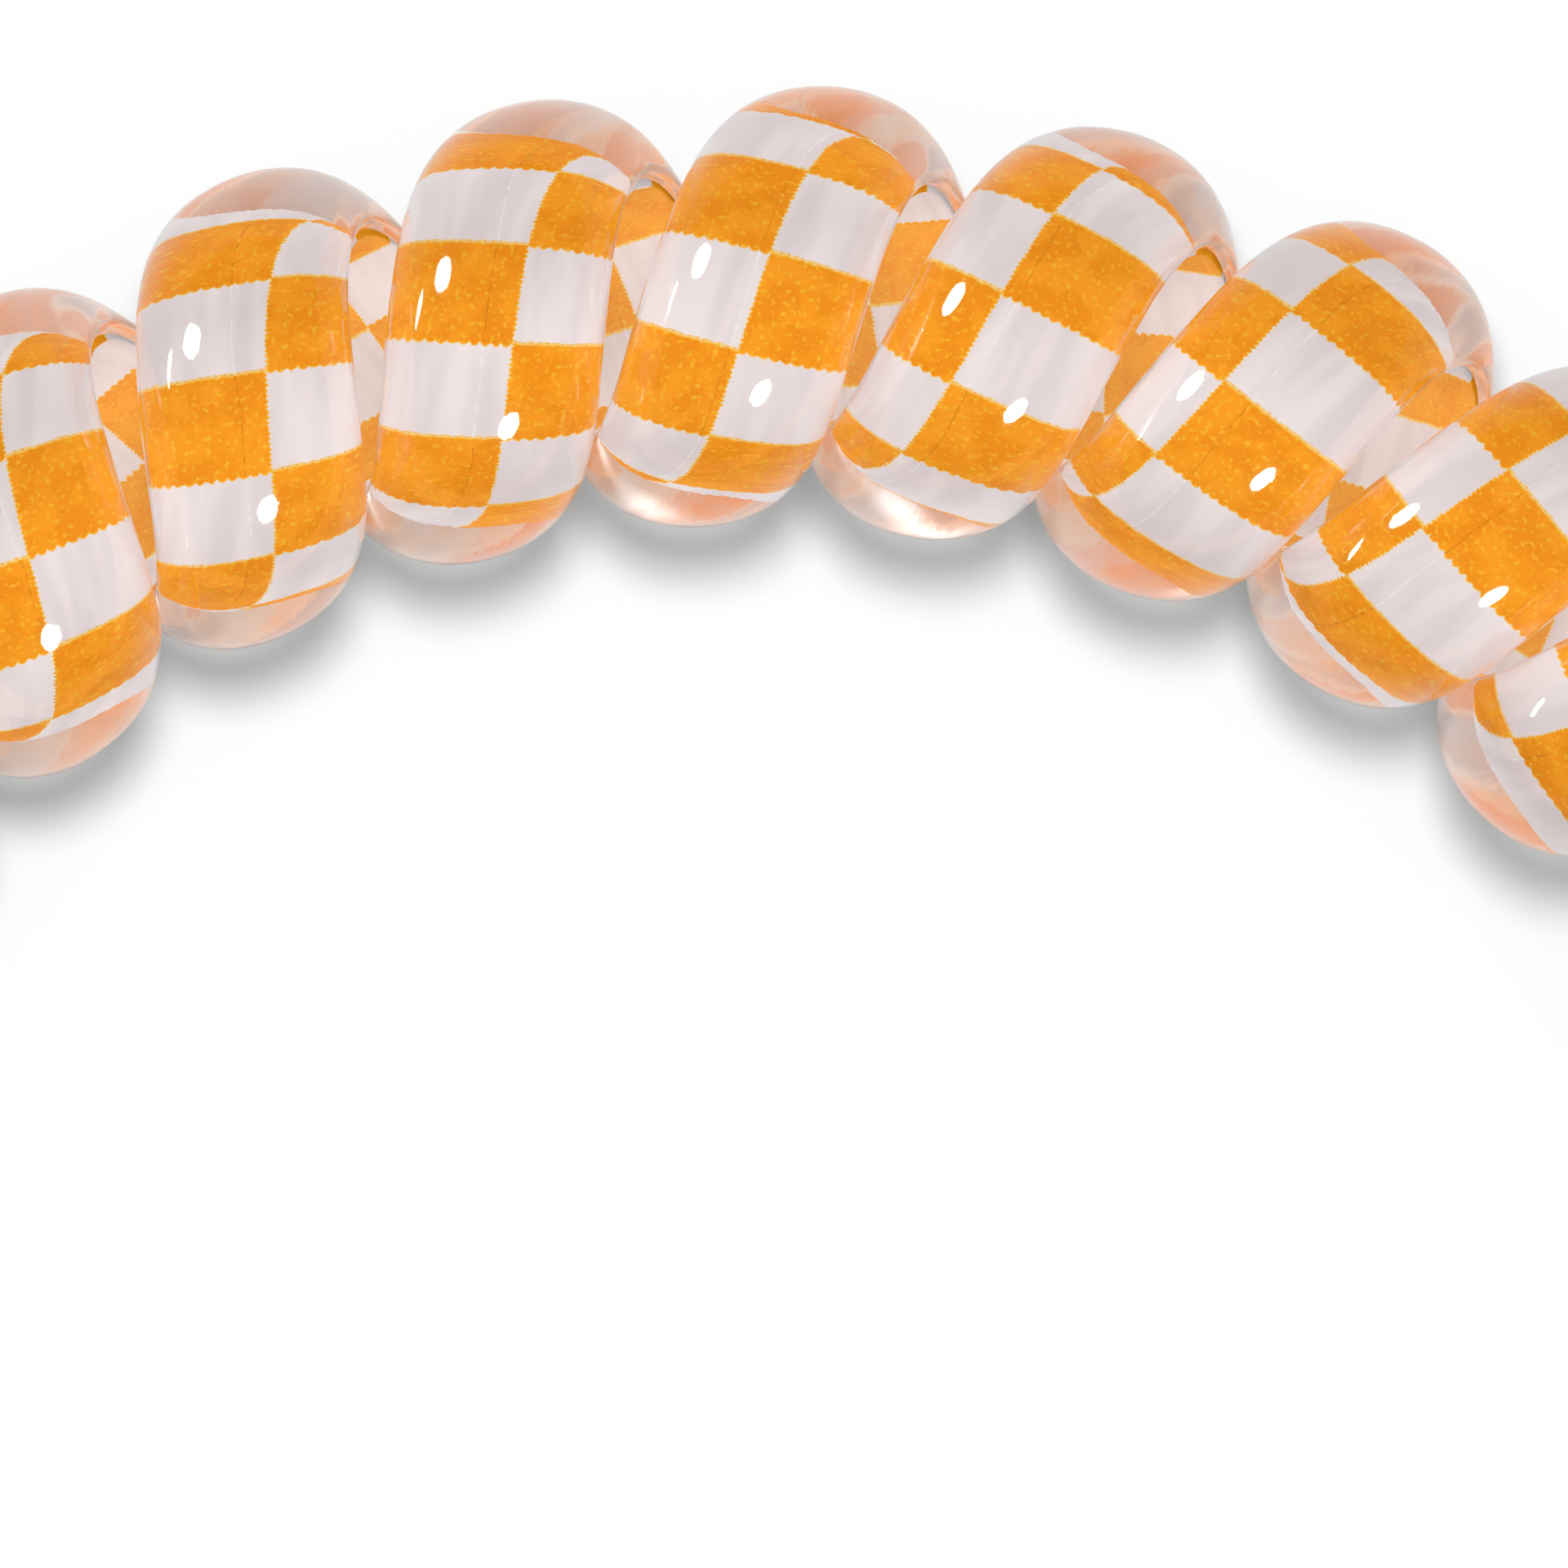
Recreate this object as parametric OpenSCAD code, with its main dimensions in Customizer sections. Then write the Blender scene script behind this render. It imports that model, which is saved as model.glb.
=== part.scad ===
// Spiral hair tie: a half-round clear cord wound as a coil whose ends meet in a ring,
// with a printed film on the cord's flat inner face.
// The ring lies flat on z = 0, its centre on the z axis. Millimetres, degrees.

/* [Ring] */
// Outside diameter of the ring as it lies
ring_d = 57; // [45:1:70]

/* [Coil] */
// Outside diameter of the coil that the turns make
coil_d = 8.4; // [7:0.05:11]
// Least clearance between neighbouring turns, at the ring's inner side
turn_gap = 0.06; // [0.04:0.01:1]

/* [Cord] */
// Width of the cord, measured along the ring
cord_w = 4.36; // [3.4:0.02:6]
// Thickness of the cord, from its flat inner face to its crown
cord_t = 1.8; // [1.2:0.05:2.8]
// Fullness of the crown: 2 is half an ellipse, more is squarer
crown_fullness = 2.1; // [1.8:0.05:3]

/* [Printed film] */
// Bare edge of the flat face on each side of the film
film_edge = 0.2; // [0.1:0.05:1]
// Thickness of the film
film_t = 0.12; // [0.08:0.01:0.3]
// Clearance between the film and the flat face
film_gap = 0.04; // [0.02:0.01:0.1]

/* [Facets] */
// Cross sections in one turn of the coil
turn_steps = 16; // [12:4:24]
// Facets across the crown of one cross section
crown_steps = 6; // [4:2:10]

/* [Hidden] */

// Radius of the circle that the coil's axis makes
ring_r = ring_d / 2 - coil_d / 2;
// Distance from the coil's axis to the cord's flat face
face_r = coil_d / 2 - cord_t;
// As many whole turns as go round where they crowd, with the flat faces side by side
crowded_length = 2 * PI * (ring_r - face_r);
turns = floor(crowded_length / (cord_w + turn_gap));
// A turn's uppermost point lies at this heading round the ring, and so does this angle of the coil
top = 90;

// Outline of the clear cord: [across the cord, away from the flat face]
crown_power = 2 / crown_fullness;
cord_outline = [
    for (k = [0:crown_steps])
        let (a = 180 * k / crown_steps)
        [cord_w / 2 * sign(cos(a)) * pow(abs(cos(a)), crown_power), cord_t * pow(sin(a), crown_power)]
];

// Outline of the film, which lies on the flat face towards the coil's axis
film_half = cord_w / 2 - film_edge;
film_outline = [
    [film_half, -film_gap - film_t],
    [film_half, -film_gap],
    [-film_half, -film_gap],
    [-film_half, -film_gap - film_t]
];

// Angle a runs along the cord, 360 for each turn: 0 is the ring's inner side, 90 the top.
// The heading falls as a grows, so that the coil is left-handed.
function heading(a) = top - (a - top) / turns;
function ring_out(a) = [cos(heading(a)), sin(heading(a)), 0];
function ring_along(a) = [-sin(heading(a)), cos(heading(a)), 0];
function coil_out(a) = -cos(a) * ring_out(a) + [0, 0, sin(a)];

// A point of the cord at angle a, from its place in the outline
function cord_point(a, p) =
    [0, 0, coil_d / 2] + ring_r * ring_out(a) + (face_r + p[1]) * coil_out(a) + p[0] * ring_along(a);

// Winds an outline round the whole ring into one closed solid
module wind(outline) {
    sections = turns * turn_steps;
    sides = len(outline);
    points = [
        for (i = [0:sections - 1])
            for (p = outline)
                cord_point(360 * i / turn_steps, p)
    ];
    faces = [
        for (i = [0:sections - 1])
            for (j = [0:sides - 1])
                let (
                    here = i * sides,
                    next = (i + 1) % sections * sides,
                    k = (j + 1) % sides
                )
                each [[here + j, next + j, next + k], [here + j, next + k, here + k]]
    ];
    polyhedron(points, faces, convexity = 10);
}

module coil() {
    color([0.95, 0.85, 0.8, 0.5]) wind(cord_outline);
}

module printed_film() {
    color("orange") wind(film_outline);
}

coil();
printed_film();
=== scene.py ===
"""A spiral hair tie: a clear half-round cord wound into a ring, with a printed film on its flat face."""

import math

import bpy
import numpy as np
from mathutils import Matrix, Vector


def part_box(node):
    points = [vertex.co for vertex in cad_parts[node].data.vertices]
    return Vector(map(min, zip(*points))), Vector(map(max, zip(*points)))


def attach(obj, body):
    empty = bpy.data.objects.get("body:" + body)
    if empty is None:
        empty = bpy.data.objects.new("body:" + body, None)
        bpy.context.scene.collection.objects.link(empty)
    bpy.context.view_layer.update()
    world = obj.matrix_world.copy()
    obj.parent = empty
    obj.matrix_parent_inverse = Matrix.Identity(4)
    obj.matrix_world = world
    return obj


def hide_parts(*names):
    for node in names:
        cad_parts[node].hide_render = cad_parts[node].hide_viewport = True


bl_info = {
    "name": "Spiral Hair Tie",
    "version": (1, 0, 0),
    "blender": (4, 5, 0),
    "location": "3D View > Sidebar > Hair Tie",
    "description": "Winds a clear cord with a checked film into a ring, and lays it on a white table",
    "category": "Add Mesh",
}

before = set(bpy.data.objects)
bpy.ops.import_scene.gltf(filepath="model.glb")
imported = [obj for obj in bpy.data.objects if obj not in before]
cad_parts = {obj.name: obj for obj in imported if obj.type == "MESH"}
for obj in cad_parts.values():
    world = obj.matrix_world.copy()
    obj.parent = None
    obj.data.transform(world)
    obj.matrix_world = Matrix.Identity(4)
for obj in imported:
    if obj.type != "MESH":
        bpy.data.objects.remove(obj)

MM = 0.001
FULL_TURN = 2 * math.pi
TOP = math.pi / 2  # the coil's angle at a turn's uppermost point, and that turn's heading round the ring
CAD_FILM_GAP = 0.04 * MM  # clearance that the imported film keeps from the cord's flat face

coil_low, coil_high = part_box("coil")
film_low, film_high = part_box("printed_film")
COIL_RADIUS = (coil_high.z - coil_low.z) / 2
RING_RADIUS = max(-coil_low.x, coil_high.x) - COIL_RADIUS
FACE_RADIUS = (film_high.z - film_low.z) / 2 + CAD_FILM_GAP

PRINT_MAP = "print_place"
CORD_MAP = "cord_place"


def linear(hex_colour):
    """A colour given as an sRGB hex value, turned to the linear values that shaders and lamps take."""
    channels = [int(hex_colour[i : i + 2], 16) / 255 for i in (1, 3, 5)]
    return [c / 12.92 if c <= 0.04045 else ((c + 0.055) / 1.055) ** 2.4 for c in channels] + [1.0]


# Settings that a user would change


class CordSettings(bpy.types.PropertyGroup):
    turns: bpy.props.IntProperty(name="Turns", description="Turns of the coil round the ring", default=31)
    ring_radius: bpy.props.FloatProperty(
        name="Ring radius",
        description="From the ring's centre to the coil's axis",
        default=RING_RADIUS,
        unit="LENGTH",
        precision=5,
    )
    coil_radius: bpy.props.FloatProperty(
        name="Coil radius",
        description="From the coil's axis to the cord's crown",
        default=COIL_RADIUS,
        unit="LENGTH",
        precision=5,
    )
    face_radius: bpy.props.FloatProperty(
        name="Face radius",
        description="From the coil's axis to the cord's flat inner face",
        default=FACE_RADIUS,
        unit="LENGTH",
        precision=5,
    )
    width: bpy.props.FloatProperty(
        name="Cord width",
        description="Width of the cord, measured along the ring",
        default=4.36 * MM,
        unit="LENGTH",
        precision=5,
    )
    fullness: bpy.props.FloatProperty(
        name="Crown fullness",
        description="Power of the crown's curve: 2 is half an ellipse",
        default=2.1,
    )
    edge_rounding: bpy.props.FloatProperty(
        name="Edge rounding",
        description="Radius between the crown and the flat face",
        default=0.22 * MM,
        unit="LENGTH",
        precision=5,
    )
    tint: bpy.props.FloatVectorProperty(
        name="Tint",
        description="Colour of the clear cord",
        subtype="COLOR",
        size=4,
        default=linear("#FFFFFF"),
    )


class PrintSettings(bpy.types.PropertyGroup):
    width: bpy.props.FloatProperty(
        name="Film width",
        description="Width of the film, measured along the ring",
        default=3.96 * MM,
        unit="LENGTH",
        precision=5,
    )
    thickness: bpy.props.FloatProperty(
        name="Film thickness",
        description="Thickness of the film below the flat face",
        default=0.12 * MM,
        unit="LENGTH",
        precision=5,
    )
    bedding: bpy.props.FloatProperty(
        name="Bedding",
        description="How deep the film is bonded into the flat face, so that no air lies between",
        default=0.02 * MM,
        unit="LENGTH",
        precision=5,
    )
    rows: bpy.props.IntProperty(
        name="Rows of checks",
        description="Rows of checks round the whole ring, an even number so that they meet",
        default=290,
    )
    orange: bpy.props.FloatVectorProperty(
        name="Orange ink", description="Orange checks", subtype="COLOR", size=4, default=linear("#FFA01E")
    )
    deep_orange: bpy.props.FloatVectorProperty(
        name="Deep orange ink",
        description="Orange checks where the ink lies thicker",
        subtype="COLOR",
        size=4,
        default=linear("#F79313"),
    )
    yellow: bpy.props.FloatVectorProperty(
        name="Thin ink",
        description="Orange ink where it lies thin",
        subtype="COLOR",
        size=4,
        default=linear("#FFD23F"),
    )
    thin_ink: bpy.props.FloatVectorProperty(
        name="Thinnest ink",
        description="Band along a row's edge",
        subtype="COLOR",
        size=4,
        default=linear("#F9CF80"),
    )
    white: bpy.props.FloatVectorProperty(
        name="White ink", description="White checks", subtype="COLOR", size=4, default=linear("#F3E7E6")
    )
    # painted shade: the white checks' colour in soft streaks along the cord
    shaded_white: bpy.props.FloatVectorProperty(
        name="Shaded white ink",
        description="White checks in the streaks along the cord",
        subtype="COLOR",
        size=4,
        default=linear("#E6D9DA"),
    )


class StageSettings(bpy.types.PropertyGroup):
    view_width: bpy.props.FloatProperty(
        name="View width",
        description="Width of the part of the ring that the camera takes in",
        default=29.82 * MM,
        unit="LENGTH",
        precision=5,
    )
    table: bpy.props.FloatVectorProperty(
        name="Table", description="Colour of the table", subtype="COLOR", size=4, default=linear("#F4F4F4")
    )


# Meshes

TURN_STEPS = 60  # cross sections in one turn of the coil


def tie_collection():
    """The collection that holds the hair tie's pieces, which the softboxes are linked to."""
    if "hair_tie" not in bpy.data.collections:
        bpy.context.scene.collection.children.link(bpy.data.collections.new("hair_tie"))
    return bpy.data.collections["hair_tie"]


def ring_place(angle, across, out, sizes):
    """Points of the winding. angle runs a full circle in each turn and is 0 at the ring's inner side, across
    runs along the ring, and out is the distance from the coil's axis. The heading falls as the angle grows,
    so that the coil is left-handed."""
    heading = TOP - (angle - TOP) / sizes.turns
    reach = sizes.ring_radius - out * np.cos(angle)
    return np.stack(
        [
            reach * np.cos(heading) - across * np.sin(heading),
            reach * np.sin(heading) + across * np.cos(heading),
            sizes.coil_radius + out * np.sin(angle),
        ],
        axis=-1,
    )


def wound_mesh(name, outline, maps, sizes):
    """Winds an outline of [across, out] round the whole ring. maps holds, by map name, the function that
    gives each corner's two map values from its angle and its place across."""
    sections, sides = sizes.turns * TURN_STEPS, len(outline)
    angle = np.arange(sections + 1) * FULL_TURN / TURN_STEPS
    angles, across = np.meshgrid(angle, outline[:, 0], indexing="ij")
    points = ring_place(angles[:-1], across[:-1], np.broadcast_to(outline[:, 1], (sections, sides)), sizes)
    here, side = np.meshgrid(np.arange(sections), np.arange(sides), indexing="ij")
    corner_sections = np.stack([here, here, here + 1, here + 1], -1)
    corner_sides = np.stack([side, side + 1, side + 1, side], -1) % sides
    faces = (corner_sections % sections) * sides + corner_sides

    mesh = bpy.data.meshes.new(name)
    mesh.vertices.add(points.size // 3)
    mesh.vertices.foreach_set("co", points.astype(np.float32).ravel())
    mesh.loops.add(faces.size)
    mesh.loops.foreach_set("vertex_index", faces.astype(np.int32).ravel())
    mesh.polygons.add(faces.size // 4)
    mesh.polygons.foreach_set("loop_start", np.arange(0, faces.size, 4, dtype=np.int32))
    mesh.update(calc_edges=True)
    mesh.validate()
    mesh.shade_smooth()
    for map_name, places in maps.items():
        layer = mesh.uv_layers.new(name=map_name)
        placed = places(angles[corner_sections, corner_sides], across[corner_sections, corner_sides])
        layer.data.foreach_set("uv", placed.astype(np.float32).ravel())
    piece = bpy.data.objects.new(name, mesh)
    tie_collection().objects.link(piece)
    return piece


def cord_outline(sizes, crown_points=33, edge_points=4, face_points=7):
    """The half-round section, as [across, out] from the coil's axis: crown, edge, flat face, edge."""
    half, rise, radius = sizes.width / 2, sizes.coil_radius - sizes.face_radius, sizes.edge_rounding
    start = math.asin((radius / rise) ** (sizes.fullness / 2))
    turn = np.linspace(start, math.pi - start, crown_points)
    power = 2 / sizes.fullness
    crown_across = half * np.sign(np.cos(turn)) * np.abs(np.cos(turn)) ** power
    crown = np.stack([crown_across, rise * np.sin(turn) ** power], -1)
    centre = crown[0, 0] - radius
    bend = np.linspace(0, -math.pi / 2, edge_points + 1)[1:]
    edge = np.stack([centre + radius * np.cos(bend), radius + radius * np.sin(bend)], -1)
    face = np.stack([np.linspace(-centre, centre, face_points + 2)[1:-1], np.zeros(face_points)], -1)
    outline = np.concatenate([crown, edge * [-1, 1], face, edge[::-1]])
    return outline + [0, sizes.face_radius]


def film_outline(sizes, film, face_points=13):
    """The film's section: a thin strip, bedded in the flat face. The second half of its points lies below."""
    top, bottom = sizes.face_radius + film.bedding, sizes.face_radius - film.thickness
    across = np.linspace(film.width / 2, -film.width / 2, face_points)
    upper = np.stack([across, np.full(face_points, top)], -1)
    lower = np.stack([across[::-1], np.full(face_points, bottom)], -1)
    return np.concatenate([upper, lower])


# Where the print lies on the film

CHECK_SLANT = -0.137  # rows that a row's line advances in a millimetre across the cord
FIRST_ROW = 1.398  # rows at the uppermost point of the turn that lies on +Y
ROW_DRIFT = 0.1  # rows by which stretch moves the print to and fro
DRIFTS_ROUND = 6  # times that it does so round the ring
DRIFT_START = 0.55  # turns before the one on +Y at which such a drift is at its most
SEAM_OFFSET = 0.2  # millimetres from the cord's middle to the seam between the two columns, on average
SEAM_WANDER = 0.53  # millimetres by which the seam wanders to either side
WANDERS_ROUND = 4  # times that it does so round the ring
WANDER_START = 2.35  # turns after the one on +Y at which the seam is furthest out
SEAM_TWIST = 0.11  # millimetres that it leans to and fro in each turn


def print_places(sizes, film):
    """Returns the function that gives a corner's rows along the cord and millimetres from the seam."""

    def places(angle, across):
        turn = (angle - TOP) / FULL_TURN
        round_ring = FULL_TURN * turn / sizes.turns
        rows = turn * film.rows / sizes.turns + CHECK_SLANT * across / MM + FIRST_ROW
        rows += ROW_DRIFT * np.cos(DRIFTS_ROUND * (round_ring + FULL_TURN * DRIFT_START / sizes.turns))
        seam = SEAM_OFFSET + SEAM_TWIST * np.cos(angle)
        seam += SEAM_WANDER * np.cos(WANDERS_ROUND * (round_ring - FULL_TURN * WANDER_START / sizes.turns))
        return np.stack([rows, across / MM - seam], -1)

    return places


def cord_places(sizes):
    """Returns the function that gives a corner's place on the cord, in millimetres along and across it."""

    def places(angle, across):
        along = angle * (sizes.face_radius + sizes.coil_radius) / 2
        return np.stack([along / MM, across / MM], -1)

    return places


# Materials


def add(tree, kind, *values, inputs=None, **settings):
    """Adds a shader node with its settings. values fill the inputs that it then uses, in their order, and
    inputs fills them by name. Each is a plain value, an output to link, or a node, which stands for the first
    of its outputs in use."""
    made = tree.nodes.new("ShaderNode" + kind)
    for name, value in settings.items():
        setattr(made, name, value)
    named = inputs or {}
    used = [socket for socket in made.inputs if socket.enabled]
    sockets = used[: len(values)] + [made.inputs[name] for name in named]
    for socket, value in zip(sockets, (*values, *named.values())):
        if isinstance(value, bpy.types.Node):
            value = next(output for output in value.outputs if output.enabled)
        if isinstance(value, bpy.types.NodeSocket):
            tree.links.new(value, socket)
        else:
            socket.default_value = value
    return made


def new_material(name):
    """A material whose nodes are still to be added, and its node tree."""
    material = bpy.data.materials.new(name)
    material.use_nodes = True
    material.node_tree.nodes.clear()
    return material, material.node_tree


def let_light_by(tree, seen, passed):
    """Shows one shader to the eye and in gloss, and another to the light that goes on to matt surfaces."""
    ray = add(tree, "LightPath")
    scattered = add(tree, "MixShader", ray.outputs["Is Diffuse Ray"], seen, passed)
    return add(tree, "MixShader", ray.outputs["Is Shadow Ray"], scattered, passed)


# The clear cord

CORD_IOR = 1.5
HAZE = 0.04  # roughness of all that is seen through the crown, whose fine unevenness blurs it
COAT = 0.4  # share of a second, softer skin that widens the highlights a little
COAT_ROUGHNESS = 0.08

WAVES = 0.45  # in a millimetre: soft waves that the hot winding leaves, 2.2 mm across
WAVE_HEIGHT = 0.05  # millimetres
WAVE_STRENGTH = 0.12
RIPPLES = 2.6  # in a millimetre, before they are drawn out along the cord to 0.8 mm by 0.24 mm
RIPPLE_STRETCH = (0.5, 1.6, 1.0)
RIPPLE_DETAIL = 2.0
RIPPLE_HEIGHT = 0.006  # millimetres
RIPPLE_STRENGTH = 0.5

PATCHES = 1.9  # in a millimetre: painted pale and brown patches of light and shade, half a millimetre across
PATCH_SMOOTHNESS = 0.7
PAINTED_PATCH_COLOURS = (
    (0.15, "#BC9686"),
    (0.35, "#D6AA90"),
    (0.5, "#E2B496"),
    (0.62, "#E4A072"),
    (0.75, "#DE8242"),
)
# painted light along the cord's two edges: the peach of light that bounces between the orange prints
PAINTED_EDGE_LIGHT = "#E89C6A"
EDGE_FROM, EDGE_TO = 0.78, 0.98  # shares of the cord's half width between which this colour comes in
EDGE_SHARE = 0.85  # share of it at the second of them
PEACH_SHARE = 0.65  # share of this painted light in all that is seen through the crown
PAINTED_PEACH_GLOW = 0.25  # painted glow, a radiance of its own, for light that goes to and fro more often than the renderer follows
GLEAM = "#595959"  # a tenth of the lamps' light, which the cord's far side mirrors
GLEAM_ROUGHNESS = 0.09

LEAN_FROM, LEAN_TO = 0.1, 0.5  # leans of a face from the light, as one less the cosine of 26 and 60 degrees
LEANING_SHARE = 0.1  # share of light that passes at the second of them, and all of it does at the first
OPEN_FROM, OPEN_TO = 0.8, 1.2  # heights in coil radii. All the light passes above the second of them


def painted_peach_light(tree, place, sizes):
    """Painted light for the light that goes to and fro in the cord and takes the print's colour: pale and
    brown patches of painted light and shade, which turn to painted peach light along the cord's two edges, a
    painted glow of its own, and the lamps' gleam on its far side."""
    patches = add(
        tree,
        "TexVoronoi",
        place,
        PATCHES,
        inputs={"Smoothness": PATCH_SMOOTHNESS},
        feature="SMOOTH_F1",
        voronoi_dimensions="2D",
    )
    ramp = add(tree, "ValToRGB", add(tree, "SeparateColor", patches.outputs["Color"]))
    stops = ramp.color_ramp.elements
    for middle in PAINTED_PATCH_COLOURS[1:-1]:
        stops.new(middle[0])
    for stop, (spot, colour) in zip(stops, PAINTED_PATCH_COLOURS):
        stop.position = spot
        stop.color = linear(colour)

    across = add(tree, "SeparateXYZ", place).outputs[1]
    aside = add(tree, "Math", across, operation="ABSOLUTE")
    edge = sizes.width / 2 / MM
    aside = add(tree, "MapRange", aside, EDGE_FROM * edge, EDGE_TO * edge, 0.0, EDGE_SHARE)
    colour = add(tree, "Mix", aside, ramp, linear(PAINTED_EDGE_LIGHT), data_type="RGBA")

    lit = add(tree, "BsdfDiffuse", colour)
    lit_through = add(tree, "BsdfTranslucent", colour)
    light = add(tree, "MixShader", 0.5, lit, lit_through)
    light = add(tree, "AddShader", light, add(tree, "Emission", colour, PAINTED_PEACH_GLOW))
    gleam = add(tree, "BsdfAnisotropic", linear(GLEAM), GLEAM_ROUGHNESS)
    return add(tree, "AddShader", light, gleam)


def light_passed(tree, sizes):
    """The share of light that the cord lets on to matt surfaces: all that leaves it or meets its upper half.
    Lower down, a face that leans from the light holds some back, as the soft shadow under the turns shows."""
    facing = add(tree, "LayerWeight", 0.5).outputs["Facing"]
    passed = add(tree, "MapRange", facing, LEAN_FROM, LEAN_TO, 1.0, LEANING_SHARE)
    point = add(tree, "NewGeometry")
    height = add(tree, "SeparateXYZ", point.outputs["Position"]).outputs[2]
    upper = add(tree, "MapRange", height, OPEN_FROM * sizes.coil_radius, OPEN_TO * sizes.coil_radius)
    freely = add(tree, "Math", point.outputs["Backfacing"], upper, operation="MAXIMUM")
    return add(tree, "Math", passed, freely, operation="MAXIMUM")


def clear_tpu(sizes):
    """Clear TPU, extruded and wound hot: a glassy skin with soft waves, and fine ripples drawn out along the
    cord. What is seen through it is a little hazy, with painted peach light for the light from the print."""
    material, tree = new_material("clear_extruded_tpu")
    place = add(tree, "UVMap", uv_map=CORD_MAP)
    waves = {
        "Strength": WAVE_STRENGTH,
        "Distance": WAVE_HEIGHT * MM,
        "Height": add(tree, "TexNoise", place, WAVES, 1.0, noise_dimensions="2D"),
    }
    drawn_out = add(tree, "Mapping", place, inputs={"Scale": RIPPLE_STRETCH})
    ripples = {
        "Strength": RIPPLE_STRENGTH,
        "Distance": RIPPLE_HEIGHT * MM,
        "Height": add(tree, "TexNoise", drawn_out, RIPPLES, RIPPLE_DETAIL, noise_dimensions="2D"),
        "Normal": add(tree, "Bump", inputs=waves),
    }

    depth = add(tree, "LightPath").outputs["Ray Depth"]
    skin = {
        "Base Color": sizes.tint[:],
        "Roughness": add(tree, "MapRange", depth, 0.0, 1.0, 0.0, HAZE),
        "IOR": CORD_IOR,
        "Transmission Weight": 1.0,
        "Normal": add(tree, "Bump", inputs=ripples),
        "Coat Weight": COAT,
        "Coat Roughness": COAT_ROUGHNESS,
    }
    skin = add(tree, "BsdfPrincipled", inputs=skin)
    # below the first surface, painted peach light takes the place of much of what is seen through the crown
    share = add(tree, "MapRange", depth, 0.0, 1.0, 0.0, PEACH_SHARE)
    seen = add(tree, "MixShader", share, skin, painted_peach_light(tree, place, sizes))
    passed = add(tree, "BsdfTransparent", light_passed(tree, sizes))
    add(tree, "OutputMaterial", let_light_by(tree, seen, passed))
    return material


# The printed film

TOOTH = 0.085  # millimetres between the teeth that the printer leaves along a column's edge
TOOTH_HEIGHT = 0.034
SCALLOP = 0.17  # millimetres between the scallops along the lower edge of an orange row
SCALLOP_HEIGHT = 0.05
FLAWS = 9.0  # in a millimetre: uneven dots, which move a column's edge and a row's by the millimetres below
FLAW_DETAIL = 2.0
COLUMN_FLAW = 0.05
ROW_FLAW = 0.07
FRINGE = 0.032  # millimetres over which the ink thins to yellow at a check's edge

CLOUDS = 1.6  # in a millimetre: clouds of thicker ink, 0.6 mm across
CLOUD_DETAIL = 4.0
CLOUD_RANGE = (0.38, 0.62)
SPECKS = 11.0  # in a millimetre: yellow specks where the ink lies thin, 0.09 mm across
SPECK_DETAIL = 2.0
SPECK_RANGE = (0.56, 0.74, 0.0, 0.5)
YELLOW_FRINGE = 0.6  # share of yellow at the very edge of the orange
CREAM_FRINGE = 0.7  # and of cream at the very edge of the white

PAINTED_STREAKS = 1.2  # in a millimetre: streaks of painted shade, before they are drawn out along the cord to 3.3 mm by 0.5 mm
STREAK_DETAIL = 2.0
STREAK_STRETCH = (0.25, 1.6, 1.0)
STREAK_RANGE = (0.3, 0.7)
THIN_BAND = 0.045  # millimetres of thin cream ink along the upper edge of an orange row
BAND_DOT = 0.24  # millimetres between the ink dots in that band
BAND_DOT_SIZE = 0.00012  # square of such a dot's radius, in square millimetres

HAIRLINE = 0.16  # millimetres from the cord's middle to the hairline where the film's two halves meet
HAIRLINE_WIDTH = 0.01  # half of it
HAIRLINE_BENDS = 0.7  # in a millimetre
HAIRLINE_WANDER = 0.12  # millimetres that it moves to and fro
HAIRLINE_BREAKS = 8.0  # in a millimetre: dashes of about 0.1 mm
HAIRLINE_BREAK_DETAIL = 3.0
HAIRLINE_BREAK_RANGE = (0.4, 0.52)
HAIRLINE_SHARE = 0.5
# painted glint and painted shade of the fine groove, on white and on orange
HAIRLINE_GLINT_ON_WHITE, HAIRLINE_SHADE_ON_ORANGE = "#FFFDFB", "#C66A10"

FILM_ROUGHNESS = 0.4
LET_THROUGH = 0.5  # share of the light that leaves the ink on its other side
PAINTED_BACK_GLOW = 0.32  # painted glow: light that has gone round inside the coil and shows on the film's back
PAINTED_BACK_GLOW_COLOUR = "#FFC08F"
SHADOW_PASSED = 0.9  # share of light that the film lets on to matt surfaces
SHADOW_COLOUR = "#E6DED6"  # its colour in the rest


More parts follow.
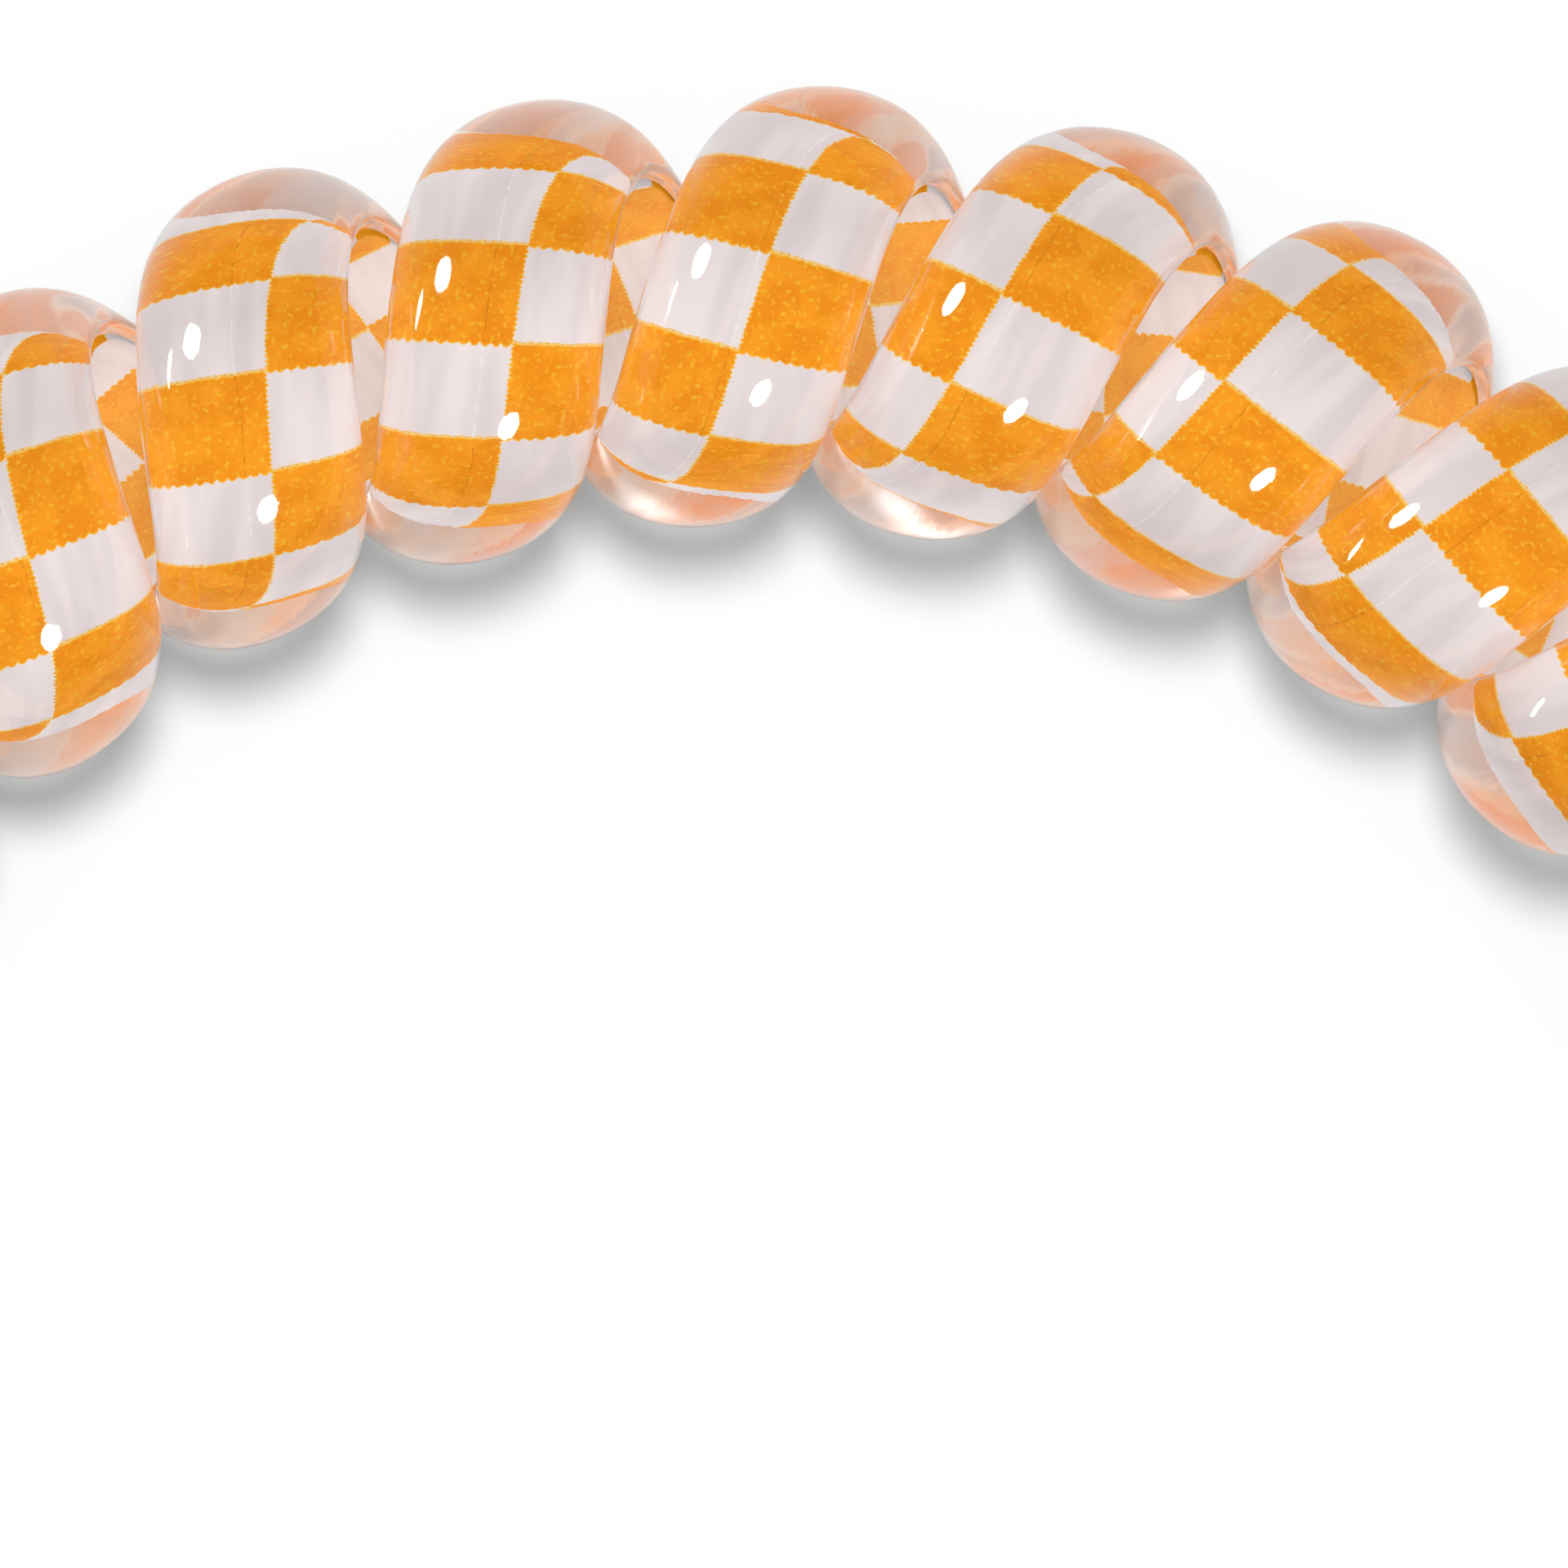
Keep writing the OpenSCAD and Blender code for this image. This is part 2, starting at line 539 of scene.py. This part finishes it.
def check_shapes(tree, rows, along, across, level, row_length):
    """Draws the checks with their uneven edges. Returns where there is orange ink, how much it thins towards
    the nearest edge, the millimetres to a row's edge, and where the row above that edge is orange."""
    ragged = add(tree, "TexNoise", level, FLAWS, FLAW_DETAIL, noise_dimensions="2D")
    ragged = add(tree, "Math", ragged, 0.5, operation="SUBTRACT")
    tooth = add(tree, "Math", along, TOOTH / 2, operation="PINGPONG")
    tooth = add(tree, "Math", tooth, TOOTH_HEIGHT * 2 / TOOTH, operation="MULTIPLY")
    tooth = add(tree, "Math", ragged, COLUMN_FLAW, tooth, operation="MULTIPLY_ADD")
    toothed = add(tree, "Math", across, tooth, operation="ADD")
    column = add(tree, "Math", toothed, 0.0, operation="GREATER_THAN")

    above = add(tree, "Math", rows, operation="ROUND")
    above = add(tree, "Math", above, 2.0, operation="FLOORED_MODULO")
    above = add(tree, "Math", above, 0.5, operation="GREATER_THAN")
    above = add(tree, "Math", above, column, operation="SUBTRACT")
    orange_above = add(tree, "Math", above, operation="ABSOLUTE")
    scallop = add(tree, "Math", across, math.pi / SCALLOP, operation="MULTIPLY")
    scallop = add(tree, "Math", scallop, operation="SINE")
    scallop = add(tree, "Math", scallop, operation="ABSOLUTE")
    scallop = add(tree, "Math", scallop, SCALLOP_HEIGHT, operation="MULTIPLY")
    flaw = add(tree, "Math", ragged, ROW_FLAW, operation="MULTIPLY")
    shift = add(tree, "Math", scallop, orange_above, flaw, operation="MULTIPLY_ADD")
    shift = add(tree, "Math", shift, row_length, operation="DIVIDE")
    scalloped = add(tree, "Math", rows, shift, operation="ADD")

    parity = add(tree, "Math", scalloped, 2.0, operation="FLOORED_MODULO")
    parity = add(tree, "Math", parity, 1.0, operation="GREATER_THAN")
    inked = add(tree, "Math", parity, column, operation="SUBTRACT")
    inked = add(tree, "Math", inked, operation="ABSOLUTE")
    to_row = add(tree, "Math", scalloped, 0.5, operation="PINGPONG")
    to_row = add(tree, "Math", to_row, row_length, operation="MULTIPLY")
    to_edge = add(tree, "Math", toothed, operation="ABSOLUTE")
    to_edge = add(tree, "Math", to_row, to_edge, operation="MINIMUM")
    fringe = add(tree, "MapRange", to_edge, 0.0, FRINGE, 1.0, 0.0, interpolation_type="SMOOTHSTEP")
    return inked, fringe, to_row, orange_above


def orange_ink(tree, film, level, fringe):
    """Orange ink in clouds of two depths, which turns to yellow in specks and towards a check's edge."""
    clouds = add(tree, "TexNoise", level, CLOUDS, CLOUD_DETAIL, noise_dimensions="2D")
    clouds = add(tree, "MapRange", clouds, *CLOUD_RANGE, interpolation_type="SMOOTHSTEP")
    ink = add(tree, "Mix", clouds, film.orange[:], film.deep_orange[:], data_type="RGBA")
    specks = add(tree, "TexNoise", level, SPECKS, SPECK_DETAIL, noise_dimensions="2D")
    specks = add(tree, "MapRange", specks, *SPECK_RANGE, interpolation_type="SMOOTHSTEP")
    edge = add(tree, "Math", fringe, YELLOW_FRINGE, operation="MULTIPLY")
    thin = add(tree, "Math", specks, edge, operation="MAXIMUM")
    return add(tree, "Mix", thin, ink, film.yellow[:], data_type="RGBA")


def white_ink(tree, film, across, level, fringe, to_row, orange_above):
    """White ink with painted shade in soft streaks along the cord. It turns to cream towards a check's edge,
    and in a dotted band along the upper edge of an orange row."""
    streaks = add(tree, "Mapping", level, inputs={"Scale": STREAK_STRETCH})
    streaks = add(tree, "TexNoise", streaks, PAINTED_STREAKS, STREAK_DETAIL, noise_dimensions="2D")
    streaks = add(tree, "MapRange", streaks, *STREAK_RANGE, interpolation_type="SMOOTHSTEP")
    white = add(tree, "Mix", streaks, film.white[:], film.shaded_white[:], data_type="RGBA")

    dot_along = add(tree, "Math", to_row, THIN_BAND / 2, operation="SUBTRACT")
    dot_along = add(tree, "Math", dot_along, 2.0, operation="POWER")
    dot_across = add(tree, "Math", across, BAND_DOT / 2, operation="PINGPONG")
    dot_across = add(tree, "Math", dot_across, BAND_DOT / 4, operation="SUBTRACT")
    dot_across = add(tree, "Math", dot_across, 2.0, operation="POWER")
    dots = add(tree, "Math", dot_along, dot_across, operation="ADD")
    dots = add(tree, "Math", dots, BAND_DOT_SIZE, operation="LESS_THAN")
    cream = add(tree, "Mix", dots, film.thin_ink[:], film.deep_orange[:], data_type="RGBA")

    band = add(tree, "Math", to_row, THIN_BAND, operation="LESS_THAN")
    white_above = add(tree, "Math", 1.0, orange_above, operation="SUBTRACT")
    band = add(tree, "Math", band, white_above, operation="MULTIPLY")
    edge = add(tree, "Math", fringe, CREAM_FRINGE, operation="MULTIPLY")
    band = add(tree, "Math", band, edge, operation="MAXIMUM")
    return add(tree, "Mix", band, white, cream, data_type="RGBA")


def with_hairline(tree, colour, inked, level):
    """Adds the hairline to the print's colour: a fine groove, faint and broken, with a painted glint, pale,
    on white and painted shade, brown, on orange.
    """
    from_middle = add(tree, "SeparateXYZ", add(tree, "UVMap", uv_map=CORD_MAP)).outputs[1]
    bends = add(tree, "TexNoise", level, HAIRLINE_BENDS, 1.0, noise_dimensions="2D")
    line = add(tree, "Math", bends, HAIRLINE_WANDER, from_middle, operation="MULTIPLY_ADD")
    line = add(tree, "Math", line, HAIRLINE + HAIRLINE_WANDER / 2, operation="SUBTRACT")
    line = add(tree, "Math", line, operation="ABSOLUTE")
    line = add(tree, "Math", line, HAIRLINE_WIDTH, operation="LESS_THAN")
    breaks = add(tree, "TexNoise", level, HAIRLINE_BREAKS, HAIRLINE_BREAK_DETAIL, noise_dimensions="2D")
    breaks = add(tree, "MapRange", breaks, *HAIRLINE_BREAK_RANGE, interpolation_type="SMOOTHSTEP")
    line = add(tree, "Math", line, breaks, operation="MULTIPLY")
    line = add(tree, "Math", line, HAIRLINE_SHARE, operation="MULTIPLY")
    shades = linear(HAIRLINE_GLINT_ON_WHITE), linear(HAIRLINE_SHADE_ON_ORANGE)
    shade = add(tree, "Mix", inked, *shades, data_type="RGBA")
    return add(tree, "Mix", line, colour, shade, data_type="RGBA")


def checked_film(name, sizes, film, glow):
    """TPU film, cast and then printed in orange and white checks: the ink is matt and lets some light pass,
    the printer's dots show as teeth at its edges, and it thins to yellow there and in fine specks."""
    material, tree = new_material(name)
    row_length = FULL_TURN * sizes.face_radius * sizes.turns / film.rows / MM
    place = add(tree, "SeparateXYZ", add(tree, "UVMap", uv_map=PRINT_MAP))
    rows, across = place.outputs[0], place.outputs[1]
    along = add(tree, "Math", rows, row_length, operation="MULTIPLY")
    level = add(tree, "CombineXYZ", along, across)

    inked, fringe, to_row, orange_above = check_shapes(tree, rows, along, across, level, row_length)
    orange = orange_ink(tree, film, level, fringe)
    white = white_ink(tree, film, across, level, fringe, to_row, orange_above)
    colour = add(tree, "Mix", inked, white, orange, data_type="RGBA")
    colour = with_hairline(tree, colour, inked, level)

    face = {
        "Base Color": colour,
        "Roughness": FILM_ROUGHNESS,
        "Specular IOR Level": 0.0,
        # painted glow: none on the front face, some on the back
        "Emission Color": linear(PAINTED_BACK_GLOW_COLOUR),
        "Emission Strength": glow,
    }
    face = add(tree, "BsdfPrincipled", inputs=face)
    lit_through = add(tree, "BsdfTranslucent", colour)
    seen = add(tree, "MixShader", LET_THROUGH, face, lit_through)
    shadow = add(tree, "BsdfDiffuse", linear(SHADOW_COLOUR))
    shadow_through = add(tree, "BsdfTranslucent", linear(SHADOW_COLOUR))
    shadow = add(tree, "MixShader", LET_THROUGH, shadow, shadow_through)
    passed = add(tree, "MixShader", SHADOW_PASSED, shadow, add(tree, "BsdfTransparent"))
    add(tree, "OutputMaterial", let_light_by(tree, seen, passed))
    return material


# Stage

CAMERA_DISTANCE = 0.9
CAMERA_AIM = (0.573 * MM, 15.19 * MM)  # the point of the ring's plane in the middle of the view
SENSOR_WIDTH = 36.0  # millimetres
TABLE_HALF = 0.75
BOUNCES = 16  # so that light can cross several clear turns

# The lamp's name, the heading and elevation where it stands in degrees, its distance, width and height in
# metres, its radiance, whether it shows in gloss, whether it lights matt surfaces, whether it lights the
# table, and where it shines: on the outside, inside the clear cord or both
LAMPS = (
    ("left_softbox", 147, 28, 0.50, 0.13, 0.15, 26.0, True, False, False, "outside"),
    ("left_strip", 166, 9, 0.50, 0.12, 0.035, 26.0, True, False, False, "outside"),
    ("near_softbox", -70, 37, 0.50, 0.12, 0.12, 34.0, True, True, False, "both"),
    ("inner_glow", 129, 24, 0.50, 0.09, 0.05, 120.0, True, False, False, "inside"),
    ("rear_softbox", 90, 35, 0.50, 0.16, 0.16, 4.0, False, True, False, "both"),
    ("overhead_panel", 90, 77, 0.60, 0.17, 0.17, 40.5, False, True, True, "both"),
)

SKY = 0.39  # radiance of the surroundings, as they light matt surfaces
DARK_SKY = 0.12  # as gloss shows them
INNER_SKY = 0.8  # and as they shine through the clear cord

TABLE_ROUGHNESS = 0.9
TABLE_GLOSS = 0.1
PAINTED_DARK_REFLECTION = "#898989"  # painted reflection: the table's colour in gloss, darker than it is, so that no hard horizon shows in the crowns
DARK_FROM, DARK_TO = -8 * MM, 25 * MM  # distances from a crown over which the table's painted reflection darkens to it


def table_top(stage):
    """White laminate, pressed smooth: matt and even, with no pattern to see."""
    material, tree = new_material("white_laminate")
    face = {
        "Base Color": stage.table[:],
        "Roughness": TABLE_ROUGHNESS,
        "Specular IOR Level": TABLE_GLOSS,
    }
    face = add(tree, "BsdfPrincipled", inputs=face)
    # painted reflection: further from a crown, the table shows darker in its gloss
    dark = add(tree, "BsdfDiffuse", linear(PAINTED_DARK_REFLECTION))
    ray = add(tree, "LightPath")
    outside = add(tree, "Math", ray.outputs["Transmission Depth"], 0.5, operation="LESS_THAN")
    mirrored = add(tree, "Math", ray.outputs["Is Glossy Ray"], outside, operation="MULTIPLY")
    reach = (ray.outputs["Ray Length"], DARK_FROM, DARK_TO, 0.0, mirrored)
    far = add(tree, "MapRange", *reach, interpolation_type="SMOOTHSTEP")
    add(tree, "OutputMaterial", add(tree, "MixShader", far, face, dark))
    return material


def direction(heading, elevation):
    """The unit vector to a heading, in degrees from +X towards +Y, and an elevation above the table."""
    heading, elevation = math.radians(heading), math.radians(elevation)
    flat = math.cos(elevation)
    return Vector((flat * math.cos(heading), flat * math.sin(heading), math.sin(elevation)))


def add_camera(stage):
    """A camera that looks straight down on the part of the ring that the photo shows."""
    data = bpy.data.cameras.new("camera")
    camera = bpy.data.objects.new("camera", data)
    bpy.context.scene.collection.objects.link(camera)
    bpy.context.scene.camera = camera
    data.sensor_width = SENSOR_WIDTH
    data.lens = SENSOR_WIDTH * CAMERA_DISTANCE / stage.view_width
    data.clip_start = CAMERA_DISTANCE / 10
    data.clip_end = CAMERA_DISTANCE * 10
    camera.location = (*CAMERA_AIM, COIL_RADIUS + CAMERA_DISTANCE)
    camera.rotation_euler = (0, 0, 0)


def add_lamp(name, heading, elevation, distance, width, height, radiance, in_gloss, on_matt, on_table, where):
    """A round softbox that faces the middle of the view. Without on_table it lights nothing but the tie."""
    data = bpy.data.lights.new(name, "AREA")
    data.shape = "ELLIPSE"
    data.size, data.size_y = width, height
    data.energy = radiance * math.pi * math.pi * width * height / 4
    lamp = bpy.data.objects.new(name, data)
    bpy.context.scene.collection.objects.link(lamp)
    lamp.location = Vector((*CAMERA_AIM, COIL_RADIUS)) + distance * direction(heading, elevation)
    lamp.rotation_mode = "QUATERNION"
    lamp.rotation_quaternion = direction(heading, elevation).to_track_quat("Z", "Y")
    lamp.visible_camera = False
    lamp.visible_glossy = in_gloss
    lamp.visible_diffuse = on_matt
    lamp.visible_transmission = False
    if where != "both":
        data.use_nodes = True
        tree = data.node_tree
        crossed = add(tree, "LightPath").outputs["Transmission Depth"]
        operation = "LESS_THAN" if where == "outside" else "GREATER_THAN"
        shines = add(tree, "Math", crossed, 0.5, operation=operation)
        tree.links.new(shines.outputs[0], tree.nodes["Emission"].inputs["Strength"])
    if not on_table:
        lamp.light_linking.receiver_collection = tie_collection()


def add_world():
    """White surroundings, with a radiance each for matt surfaces, for gloss and for inside the cord."""
    world = bpy.data.worlds.new("white_surroundings")
    bpy.context.scene.world = world
    world.use_nodes = True
    tree = world.node_tree
    tree.nodes.clear()
    ray = add(tree, "LightPath")
    matt = add(tree, "MapRange", ray.outputs["Diffuse Depth"], 0.0, 1.0, 1.0, SKY)
    inside = add(tree, "Math", ray.outputs["Transmission Depth"], 0.5, operation="GREATER_THAN")
    shown = add(tree, "Mix", inside, DARK_SKY, INNER_SKY)
    strength = add(tree, "Mix", ray.outputs["Is Glossy Ray"], matt, shown)
    add(tree, "OutputWorld", add(tree, "Background", linear("#FFFFFF"), strength))


def add_table(stage):
    """A flat table at height 0, far larger than the view."""
    corners = [(-1, -1), (1, -1), (1, 1), (-1, 1)]
    mesh = bpy.data.meshes.new("table")
    mesh.from_pydata([(TABLE_HALF * x, TABLE_HALF * y, 0) for x, y in corners], [], [(0, 1, 2, 3)])
    mesh.materials.append(table_top(stage))
    table = bpy.data.objects.new("table", mesh)
    bpy.context.scene.collection.objects.link(table)


# Operators, panel and registration


class HAIRTIE_OT_stage(bpy.types.Operator):
    """Sets up the camera, the lamps, the white surroundings and the table"""

    bl_idname = "hair_tie.stage"
    bl_label = "Stage"

    def execute(self, context):
        stage = context.scene.hair_tie_stage
        add_camera(stage)
        for lamp in LAMPS:
            add_lamp(*lamp)
        add_world()
        add_table(stage)
        context.scene.view_settings.view_transform = "Standard"
        cycles = context.scene.cycles
        cycles.max_bounces = cycles.transmission_bounces = cycles.glossy_bounces = BOUNCES
        cycles.use_light_tree = False
        return {"FINISHED"}


class HAIRTIE_OT_clear_cord(bpy.types.Operator):
    """Winds the clear half-round cord"""

    bl_idname = "hair_tie.clear_cord"
    bl_label = "Clear cord"

    def execute(self, context):
        sizes = context.scene.hair_tie_cord
        cord = wound_mesh("clear_cord", cord_outline(sizes), {CORD_MAP: cord_places(sizes)}, sizes)
        cord.data.materials.append(clear_tpu(sizes))
        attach(cord, "root")
        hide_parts("coil")
        return {"FINISHED"}


class HAIRTIE_OT_printed_film(bpy.types.Operator):
    """Lays the checked film on the cord's flat inner face"""

    bl_idname = "hair_tie.printed_film"
    bl_label = "Printed film"

    def execute(self, context):
        sizes, film = context.scene.hair_tie_cord, context.scene.hair_tie_print
        outline = film_outline(sizes, film)
        maps = {PRINT_MAP: print_places(sizes, film), CORD_MAP: cord_places(sizes)}
        strip = wound_mesh("check_film", outline, maps, sizes)
        strip.data.materials.append(checked_film("printed_tpu_film", sizes, film, 0.0))
        # the film's back carries a painted glow
        strip.data.materials.append(checked_film("printed_tpu_film_back", sizes, film, PAINTED_BACK_GLOW))
        sides = len(outline)
        back = np.tile(np.arange(sides) >= sides // 2, len(strip.data.polygons) // sides)
        strip.data.polygons.foreach_set("material_index", back.astype(np.int32))
        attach(strip, "root")
        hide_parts("printed_film")
        return {"FINISHED"}


class HAIRTIE_PT_panel(bpy.types.Panel):
    """Lists the sizes and colours, and the steps that make the hair tie"""

    bl_label = "Hair Tie"
    bl_idname = "HAIRTIE_PT_panel"
    bl_space_type = "VIEW_3D"
    bl_region_type = "UI"
    bl_category = "Hair Tie"

    def draw(self, context):
        scene = context.scene
        for group in (scene.hair_tie_cord, scene.hair_tie_print, scene.hair_tie_stage):
            for name in group.__annotations__:
                self.layout.prop(group, name)
        for step in STEPS:
            self.layout.operator(step.bl_idname)


STEPS = (HAIRTIE_OT_stage, HAIRTIE_OT_clear_cord, HAIRTIE_OT_printed_film)
CLASSES = (CordSettings, PrintSettings, StageSettings, *STEPS, HAIRTIE_PT_panel)


def register():
    """Registers the classes, and puts the settings on the scene."""
    for made in CLASSES:
        bpy.utils.register_class(made)
    bpy.types.Scene.hair_tie_cord = bpy.props.PointerProperty(type=CordSettings)
    bpy.types.Scene.hair_tie_print = bpy.props.PointerProperty(type=PrintSettings)
    bpy.types.Scene.hair_tie_stage = bpy.props.PointerProperty(type=StageSettings)


def unregister():
    """Takes the settings off the scene, and the classes away."""
    del bpy.types.Scene.hair_tie_stage
    del bpy.types.Scene.hair_tie_print
    del bpy.types.Scene.hair_tie_cord
    for made in reversed(CLASSES):
        bpy.utils.unregister_class(made)


def main():
    """Makes the hair tie and its stage."""
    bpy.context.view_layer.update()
    register()
    bpy.ops.hair_tie.stage()
    bpy.ops.hair_tie.clear_cord()
    bpy.ops.hair_tie.printed_film()


if __name__ == "__main__":
    main()
